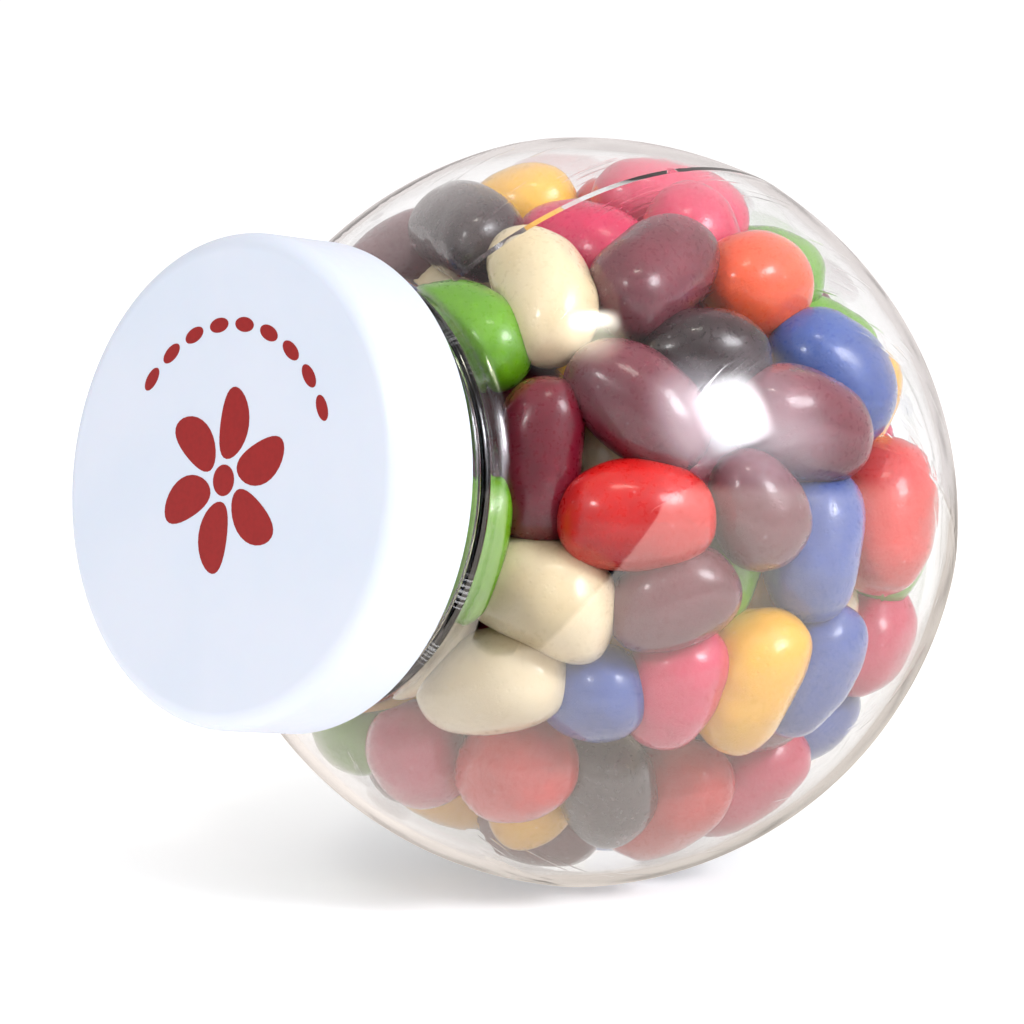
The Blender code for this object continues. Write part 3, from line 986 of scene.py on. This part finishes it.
def bean_tree():
    """Beans of several kinds set on points, made real, gently dented, and finished."""
    tree = bpy.data.node_groups.new("beans on points", "GeometryNodeTree")
    sockets = [("Geometry", "NodeSocketGeometry"), ("Kinds", "NodeSocketCollection"),
               ("Dent Depth", "NodeSocketFloat"), ("Dents Per Metre", "NodeSocketFloat"),
               ("Finish", "NodeSocketMaterial")]
    for name, kind in sockets:
        tree.interface.new_socket(name, in_out="INPUT", socket_type=kind)
    tree.interface.new_socket("Geometry", in_out="OUTPUT", socket_type="NodeSocketGeometry")
    add, join = tree.nodes.new, tree.links.new

    def attribute(name, kind):
        node = add("GeometryNodeInputNamedAttribute")
        node.data_type = kind
        node.inputs["Name"].default_value = name
        return node.outputs["Attribute"]

    given, result = add("NodeGroupInput"), add("NodeGroupOutput")
    kinds, copies = add("GeometryNodeCollectionInfo"), add("GeometryNodeInstanceOnPoints")
    kinds.inputs["Separate Children"].default_value = True
    kinds.inputs["Reset Children"].default_value = True
    copies.inputs["Pick Instance"].default_value = True
    real, shift, finish = (add("GeometryNodeRealizeInstances"), add("GeometryNodeSetPosition"),
                           add("GeometryNodeSetMaterial"))
    noise, centred, depth, along = (add("ShaderNodeTexNoise"), add("ShaderNodeMath"), add("ShaderNodeMath"),
                                    add("ShaderNodeVectorMath"))
    centred.operation, depth.operation, along.operation = "SUBTRACT", "MULTIPLY", "SCALE"
    centred.inputs[1].default_value = 0.5
    noise.inputs["Detail"].default_value = 1.0
    smooth = add("GeometryNodeSetShadeSmooth")
    join(given.outputs["Geometry"], copies.inputs["Points"])
    join(given.outputs["Kinds"], kinds.inputs["Collection"])
    join(kinds.outputs[0], copies.inputs["Instance"])
    join(attribute("kind", "INT"), copies.inputs["Instance Index"])
    join(attribute("turn", "QUATERNION"), copies.inputs["Rotation"])
    join(attribute("size", "FLOAT_VECTOR"), copies.inputs["Scale"])
    join(copies.outputs[0], real.inputs[0])
    join(given.outputs["Dents Per Metre"], noise.inputs["Scale"])
    join(noise.outputs["Fac"], centred.inputs[0])
    join(centred.outputs[0], depth.inputs[0])
    join(given.outputs["Dent Depth"], depth.inputs[1])
    join(add("GeometryNodeInputNormal").outputs[0], along.inputs[0])
    join(depth.outputs[0], along.inputs["Scale"])
    join(real.outputs[0], shift.inputs["Geometry"])
    join(along.outputs[0], shift.inputs["Offset"])
    join(shift.outputs[0], smooth.inputs[0])
    join(smooth.outputs[0], finish.inputs["Geometry"])
    join(given.outputs["Finish"], finish.inputs["Material"])
    join(finish.outputs[0], result.inputs[0])
    return tree


def bean_turn(long_way, face_way):
    """The turn that lays a bean's long way and flat way as wanted."""
    x = Vector(long_way).normalized()
    z = Vector(face_way) - x * x.dot(Vector(face_way))
    z.normalize()
    return Matrix((x, z.cross(x), z)).transposed().to_quaternion()


def point_cloud(name, packing, chosen, chance):
    """The places of one colour's beans, with each one's turn, size, kind and tone."""
    mesh = bpy.data.meshes.new(name)
    lie = PLACE.to_quaternion()
    mesh.from_pydata([PLACE @ Vector(packing.centre[i]) for i in chosen], [], [])
    kept = (("turn", "QUATERNION"), ("size", "FLOAT_VECTOR"), ("kind", "INT"), ("tone", "FLOAT"))
    for label, form in kept:
        mesh.attributes.new(label, form, "POINT")
    turn, size, kind, tone = (mesh.attributes[label].data for label, _ in kept)
    for slot, i in enumerate(chosen):
        _, _, _, _, length, width, form, _ = packing.rows[i]
        near_wall = np.linalg.norm(packing.centre[i]) > 0.027
        turn[slot].value = lie @ bean_turn(packing.way[i], packing.flat[i])
        size[slot].vector = (length, width, width * chance.uniform(0.93, 1.0))
        kind[slot].value = form if near_wall else form + len(BEAN_FORMS)
        tone[slot].value = chance.uniform(0.0, 1.0)
    return add_object(name, mesh)


def make_beans():
    """All the beans, one piece for each colour."""
    chance = np.random.default_rng(SEED)
    packing = Packing()
    lay_shown_beans(packing)
    lay_filling_beans(packing, chance)
    packing.settle(SETTLE_STEPS, own_view())
    kinds, tree, pieces = bean_kinds(), bean_tree(), []
    for name, (plain, deep, _) in BEAN_COLOURS.items():
        chosen = [i for i, row in enumerate(packing.rows) if row[0] == name]
        beans = point_cloud("beans_" + name, packing, chosen, chance)
        nodes = beans.modifiers.new("beans", "NODES")
        nodes.node_group = tree
        set_inputs(nodes, kinds=kinds, dent_depth=0.0007, dents_per_metre=170.0,
                   finish=sugar_shell(name, plain, deep))
        pieces.append(only_finish(apply_modifiers(beans)))
    for item in list(kinds.objects):
        bpy.data.objects.remove(item)
    bpy.data.collections.remove(kinds)
    return pieces


def make_core(finish):
    """The lumpy middle that the beans lie over, near-black as painted shade."""
    form = bmesh.new()
    bmesh.ops.create_icosphere(form, subdivisions=4, radius=CORE_RADIUS)
    mesh = bpy.data.meshes.new("bean_core")
    form.to_mesh(mesh)
    form.free()
    rows = points_of(mesh)
    rows *= (1.0 + 0.06 * ripple(rows, 5, 7, 0.008, 0.016))[:, None]
    put_points(mesh, rows)
    mesh.transform(PLACE)
    mesh.shade_smooth()
    mesh.materials.append(finish)
    return add_object("bean_core", mesh)


# ---------------------------------------------------------------- the studio


def make_floor(finish):
    """A wide pale floor under the jar."""
    mesh = bpy.data.meshes.new("floor")
    form = bmesh.new()
    bmesh.ops.create_grid(form, x_segments=8, y_segments=8, size=3.0)
    form.to_mesh(mesh)
    form.free()
    mesh.materials.append(finish)
    floor = add_object("floor", mesh)
    return floor


def softbox(name, azimuth_deg, elevation_deg, distance, width, height, brightness, colour):
    """A lamp aimed at the jar, brightest in its middle and fading to its edges."""
    lamp = bpy.data.lights.new(name, "AREA")
    lamp.shape = "RECTANGLE"
    lamp.size, lamp.size_y = width, height
    lamp.energy = brightness * math.pi * width * height
    lamp.color = colour
    lamp.use_nodes = True
    n = Nodes(name, lamp.node_tree)
    place = n.add("SeparateXYZ")
    n.join(n.add("NewGeometry").outputs["Parametric"], place.inputs[0])
    fade = None
    for axis in ("X", "Y"):
        rest = n.math("SUBTRACT", place.outputs[axis], 1.0)
        hump = n.times(n.times(place.outputs[axis], rest), -4.0)
        fade = hump if fade is None else n.times(fade, hump)
    n.join(n.times(n.times(fade, fade), 3.5), lamp.node_tree.nodes["Emission"].inputs["Strength"])
    item = bpy.data.objects.new(name, lamp)
    bpy.context.scene.collection.objects.link(item)
    right, up, back = facing(azimuth_deg, elevation_deg)
    item.matrix_world = Matrix.Translation(CENTRE + back * distance) @ Matrix((right, up, back)).transposed().to_4x4()
    return item


def make_world():
    """A plain bright room, and what the shell's surfaces mirror of it: a dark screen round the
    photographer, a bright card low on the right, a pale upper room and a soft glare."""
    world = bpy.data.worlds.new("studio")
    world.use_nodes = True
    world.cycles.sampling_method = "NONE"
    bpy.context.scene.world = world
    n = Nodes("studio", world.node_tree)
    seen, mirror = ray_kinds(n)
    right, up, back = facing(VIEW_AZIMUTH_DEG, VIEW_ELEVATION_DEG)
    way = n.add("TexCoord").outputs["Generated"]

    def lean(across, upward, near):
        node = n.add("VectorMath", operation="DOT_PRODUCT")
        n.join(way, node.inputs[0])
        node.inputs[1].default_value = right * across + up * upward + back * near
        return node.outputs["Value"]

    def past(across, upward, near, soft):
        return n.span(lean(across, upward, near), -soft, soft)

    def glow(across, upward, near, spread, brightness):
        node = n.add("VectorMath", operation="DISTANCE")
        n.join(way, node.inputs[0])
        node.inputs[1].default_value = (right * across + up * upward + back * near).normalized()
        return n.span(node.outputs["Value"], 0.0, spread, brightness, 0.0)

    def tint(value, colour):
        node = n.add("VectorMath", operation="SCALE")
        node.inputs[0].default_value = colour
        n.join(value, node.inputs["Scale"])
        return node.outputs["Vector"]

    def plus(first, second):
        node = n.add("VectorMath", operation="ADD")
        n.join(first, node.inputs[0])
        n.join(second, node.inputs[1])
        return node.outputs["Vector"]

    low = n.span(lean(0.0, 1.0, 0.0), -0.02, 0.06, 1.0, 0.0)
    high = n.span(lean(0.0, 1.0, 0.0), -0.02, 0.06)
    card = n.math("MAXIMUM", past(0.96, -0.69, -0.53, 0.008), past(0.0, -1.0, -1.03, 0.012))
    card = n.times(n.times(card, low), n.span(lean(0.0, 0.0, 1.0), -0.85, 0.25, 0.38 * LOW_CARD, LOW_CARD))
    left_room = n.times(past(-1.0, 0.0, -0.8, 0.05), n.span(lean(1.0, 0.0, 0.0), -0.3, 0.0, 0.35, 0.0))
    room = n.math("MAXIMUM", n.times(past(0.59, 0.57, -0.358, 0.03), high), left_room)
    room = n.times(room, n.span(lean(0.0, 0.0, 1.0), -0.7, 0.1, EDGE_ROOM, UPPER_ROOM))
    glare = n.math("ADD", glow(0.55, 0.48, 0.68, 0.34, 7.0), glow(0.84, 0.34, 0.42, 0.5, 4.0))
    hook = glow(0.03, 0.81, 0.58, 0.2, 6.0)
    mirrored = plus(tint(card, (1.0, 0.90, 0.82)), tint(room, (1.0, 0.93, 0.91)))
    mirrored = plus(mirrored, plus(tint(glare, (0.94, 0.91, 1.0)), tint(hook, (1.0, 0.94, 0.74))))
    bounced = n.math("GREATER_THAN", n.add("LightPath").outputs["Glossy Depth"], 0.5)
    plain = n.math("MAXIMUM", n.math("MAXIMUM", seen, n.times(bounced, 0.72)), AMBIENT)
    grey = n.blend(mirror, tint(plain, (1.0, 1.0, 1.0)), mirrored)
    n.join(grey, world.node_tree.nodes["Background"].inputs["Color"])


def make_studio():
    """World, lamps and camera."""
    scene = bpy.context.scene
    make_world()
    softbox("key softbox", 99.5, 35.0, 0.60, 0.28, 0.22, 11.5, (0.97, 0.97, 1.0))
    softbox("left lamp", 10.0, 32.0, 0.60, 0.10, 0.10, 20.0, (1.0, 0.99, 0.97))
    softbox("top lamp", 54.0, 67.0, 0.60, 0.16, 0.08, 8.0, (1.0, 0.97, 0.85))
    right, up, back = facing(VIEW_AZIMUTH_DEG, VIEW_ELEVATION_DEG)
    lens = bpy.data.cameras.new("camera")
    lens.lens = VIEW_LENS
    lens.sensor_width = 36.0
    lens.clip_start, lens.clip_end = 0.05, 20.0
    camera = bpy.data.objects.new("camera", lens)
    scene.collection.objects.link(camera)
    place = CENTRE + back * VIEW_DISTANCE - right * VIEW_SHIFT
    camera.matrix_world = Matrix.Translation(place) @ Matrix((right, up, back)).transposed().to_4x4()
    scene.camera = camera
    scene.view_settings.view_transform = "Standard"
    scene.cycles.use_denoising = True
    scene.cycles.max_bounces = 16
    scene.cycles.transmission_bounces = 12
    scene.cycles.transparent_max_bounces = 12
    scene.cycles.sample_clamp_indirect = 4.0


# ---------------------------------------------------------------- all together


def main():
    """Make every piece, tie each to the root body, and hide the solid that it stands for."""
    jar = make_jar(clear_plastic())
    lid = make_lid(white_plastic())
    motif = make_print(print_ink())
    beans = make_beans() + [make_core(shade_core_finish())]
    dressed = [(jar, "jar", "clear_plastic"), (lid, "lid", "white_plastic"), (motif, "lid", "white_plastic")]
    dressed += [(piece, "jelly_beans", "sugar_shell") for piece in beans]
    for piece, node, slot in dressed:
        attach(piece, "root")
        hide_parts(node)
    make_floor(pale_floor())
    make_studio()


main()
